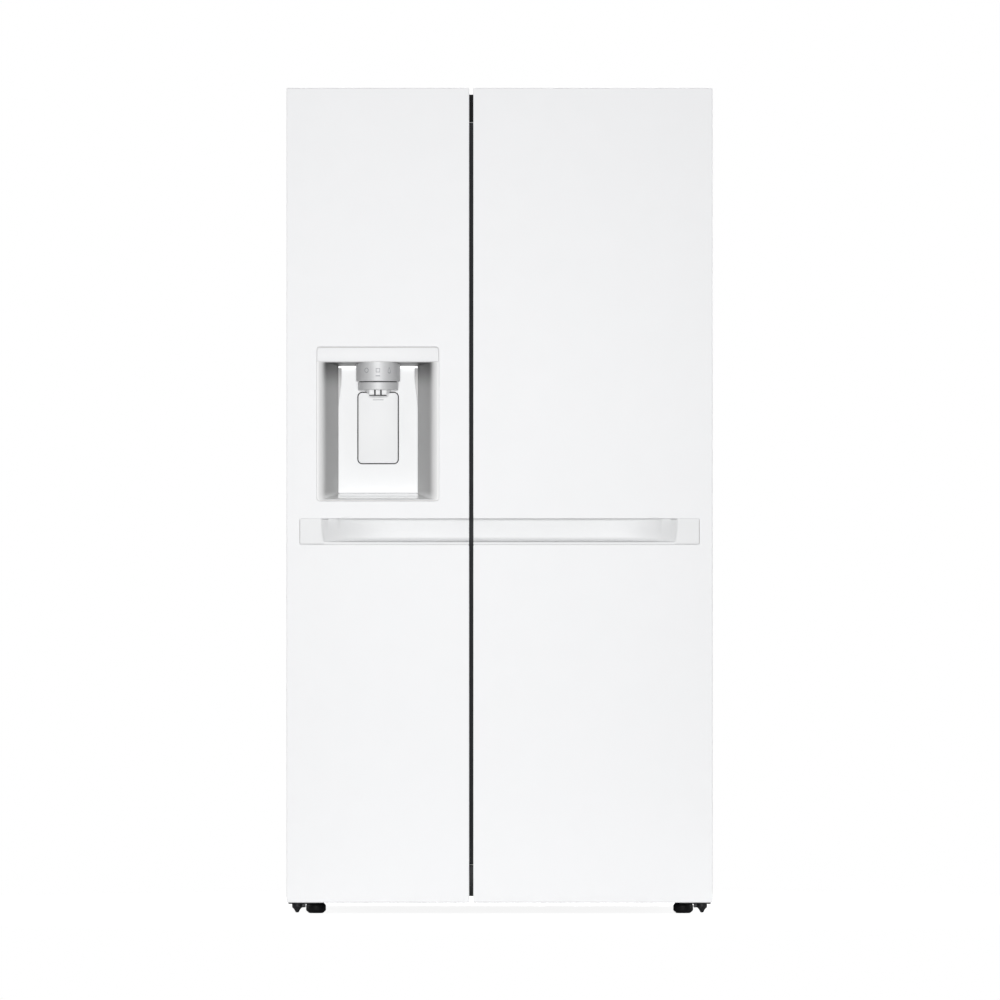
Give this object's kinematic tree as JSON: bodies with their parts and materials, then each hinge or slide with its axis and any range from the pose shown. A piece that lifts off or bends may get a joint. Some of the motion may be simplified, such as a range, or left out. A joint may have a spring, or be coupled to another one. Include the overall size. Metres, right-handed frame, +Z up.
{
  "type": "side by side refrigerator",
  "caption": "Free-standing refrigerator with a narrow freezer door and a wide fridge door side by side, finger pockets and a water and ice dispenser.",
  "frame": {"origin": "on the floor, under the middle of the outer box", "axes": "+Z up, doors face -Y, +X to the right seen from the front"},
  "size_m": [0.913, 0.735, 1.77],
  "materials": {
    "door_paint": "glossy white enamel",
    "case_paint": "satin grey paint",
    "black_plastic": "matte black",
    "white_plastic": "satin white moulding",
    "seal_rubber": "soft grey seal",
    "foam": "rigid foam",
    "zinc_steel": "zinc coated",
    "dark_steel": "dark grey paint",
    "silver_trim": "satin silver",
    "shelf_glass": "clear tempered glass with a white trim",
    "clear_plastic": "clear plastic",
    "aluminium": "plain fins",
    "roller_rubber": "hard black",
    "lamp_plastic": "milky light guide"
  },
  "bodies": {
    "cabinet": {"outer_case": "case_paint", "back_panel": "zinc_steel", "foam_body": "foam", "freezer_liner": "white_plastic", "fridge_liner": "white_plastic", "mullion_strip": "dark_steel", "top_cover": "black_plastic", "base_frame": "dark_steel", "machine_cover": "dark_steel", "upper_hinge_left": "zinc_steel", "upper_hinge_right": "zinc_steel", "lower_hinge_left": "dark_steel", "lower_hinge_right": "dark_steel", "compressor": "black_plastic", "condenser": "dark_steel", "evaporator": "aluminium", "evaporator_cover": "white_plastic", "air_duct": "white_plastic", "ice_maker": "white_plastic", "freezer_shelf": "shelf_glass", "crisper_cover": "shelf_glass", "fridge_shelf_lower": "shelf_glass", "fridge_shelf_upper": "shelf_glass"},
    "freezer_door": {"freezer_door_panel": "door_paint", "freezer_door_foam": "foam", "freezer_door_liner": "white_plastic", "freezer_door_cap_top": "white_plastic", "freezer_door_cap_bottom": "white_plastic", "freezer_gasket": "seal_rubber", "freezer_handle": "white_plastic", "freezer_door_bin_1": "clear_plastic", "freezer_door_bin_2": "clear_plastic", "dispenser_housing": "white_plastic", "dispenser_header": "door_paint", "dispenser_collar": "silver_trim", "dispenser_spout": "silver_trim", "drip_tray": "clear_plastic", "dispenser_lamp": "lamp_plastic"},
    "fridge_door": {"fridge_door_panel": "door_paint", "fridge_door_foam": "foam", "fridge_door_liner": "white_plastic", "fridge_door_cap_top": "white_plastic", "fridge_door_cap_bottom": "white_plastic", "fridge_gasket": "seal_rubber", "fridge_handle": "white_plastic", "fridge_door_bin_1": "clear_plastic", "fridge_door_bin_2": "clear_plastic", "fridge_door_bin_3": "clear_plastic"},
    "condenser_fan_body": {"condenser_fan": "black_plastic"},
    "evaporator_fan_body": {"evaporator_fan": "black_plastic"},
    "rear_roller_left_body": {"rear_roller_left": "roller_rubber"},
    "rear_roller_right_body": {"rear_roller_right": "roller_rubber"},
    "leveling_foot_left_body": {"leveling_foot_left": "black_plastic"},
    "leveling_foot_right_body": {"leveling_foot_right": "black_plastic"},
    "dispenser_paddle_body": {"dispenser_paddle": "white_plastic"},
    "freezer_drawer_lower_body": {"freezer_drawer_lower": "clear_plastic"},
    "freezer_drawer_upper_body": {"freezer_drawer_upper": "clear_plastic"},
    "ice_bin_body": {"ice_bin": "clear_plastic"},
    "crisper_drawer_lower_body": {"crisper_drawer_lower": "clear_plastic"},
    "crisper_drawer_upper_body": {"crisper_drawer_upper": "clear_plastic"}
  },
  "joints": [
    {"name": "freezer_door_hinge", "type": "hinge", "parent": "cabinet", "child": "freezer_door", "pos_m": [-0.434, -0.3275, 1], "axis": [0, 0, -1], "range_deg": [0, 115]},
    {"name": "fridge_door_hinge", "type": "hinge", "parent": "cabinet", "child": "fridge_door", "pos_m": [0.434, -0.3275, 1], "axis": [0, 0, 1], "range_deg": [0, 115]},
    {"name": "dispenser_paddle_hinge", "type": "hinge", "parent": "freezer_door", "child": "dispenser_paddle_body", "pos_m": [-0.2607, -0.3025, 1.1145], "axis": [1, 0, 0], "range_deg": [0, 8], "stiffness_Nm_per_rad": 0.6},
    {"name": "condenser_fan_spin", "type": "hinge", "parent": "cabinet", "child": "condenser_fan_body", "pos_m": [0.138, 0.278, 0.15], "axis": [1, 0, 0], "continuous": true},
    {"name": "evaporator_fan_spin", "type": "hinge", "parent": "cabinet", "child": "evaporator_fan_body", "pos_m": [-0.248, 0.262, 1], "axis": [0, 1, 0], "continuous": true},
    {"name": "rear_roller_left_spin", "type": "hinge", "parent": "cabinet", "child": "rear_roller_left_body", "pos_m": [-0.3945, 0.318, 0.018], "axis": [1, 0, 0], "continuous": true},
    {"name": "leveling_foot_left_turn", "type": "hinge", "parent": "cabinet", "child": "leveling_foot_left_body", "pos_m": [-0.3945, -0.265, 0.04], "axis": [0, 0, 1], "continuous": true},
    {"name": "rear_roller_right_spin", "type": "hinge", "parent": "cabinet", "child": "rear_roller_right_body", "pos_m": [0.3945, 0.318, 0.018], "axis": [1, 0, 0], "continuous": true},
    {"name": "leveling_foot_right_turn", "type": "hinge", "parent": "cabinet", "child": "leveling_foot_right_body", "pos_m": [0.3945, -0.265, 0.04], "axis": [0, 0, 1], "continuous": true},
    {"name": "freezer_drawer_lower_slide", "type": "slide", "parent": "cabinet", "child": "freezer_drawer_lower_body", "axis": [0, -1, 0], "range_m": [0, 0.2]},
    {"name": "freezer_drawer_upper_slide", "type": "slide", "parent": "cabinet", "child": "freezer_drawer_upper_body", "axis": [0, -1, 0], "range_m": [0, 0.2]},
    {"name": "ice_bin_slide", "type": "slide", "parent": "cabinet", "child": "ice_bin_body", "axis": [0, -1, 0], "range_m": [0, 0.2]},
    {"name": "crisper_drawer_lower_slide", "type": "slide", "parent": "cabinet", "child": "crisper_drawer_lower_body", "axis": [0, -1, 0], "range_m": [0, 0.2]},
    {"name": "crisper_drawer_upper_slide", "type": "slide", "parent": "cabinet", "child": "crisper_drawer_upper_body", "axis": [0, -1, 0], "range_m": [0, 0.2]}
  ],
  "couplings": [
    {"joint": "freezer_drawer_lower_slide", "follows": "freezer_door_hinge", "m_per_rad": 0.095},
    {"joint": "freezer_drawer_upper_slide", "follows": "freezer_door_hinge", "m_per_rad": 0.095},
    {"joint": "ice_bin_slide", "follows": "freezer_door_hinge", "m_per_rad": 0.095},
    {"joint": "crisper_drawer_lower_slide", "follows": "fridge_door_hinge", "m_per_rad": 0.095},
    {"joint": "crisper_drawer_upper_slide", "follows": "fridge_door_hinge", "m_per_rad": 0.095}
  ]
}
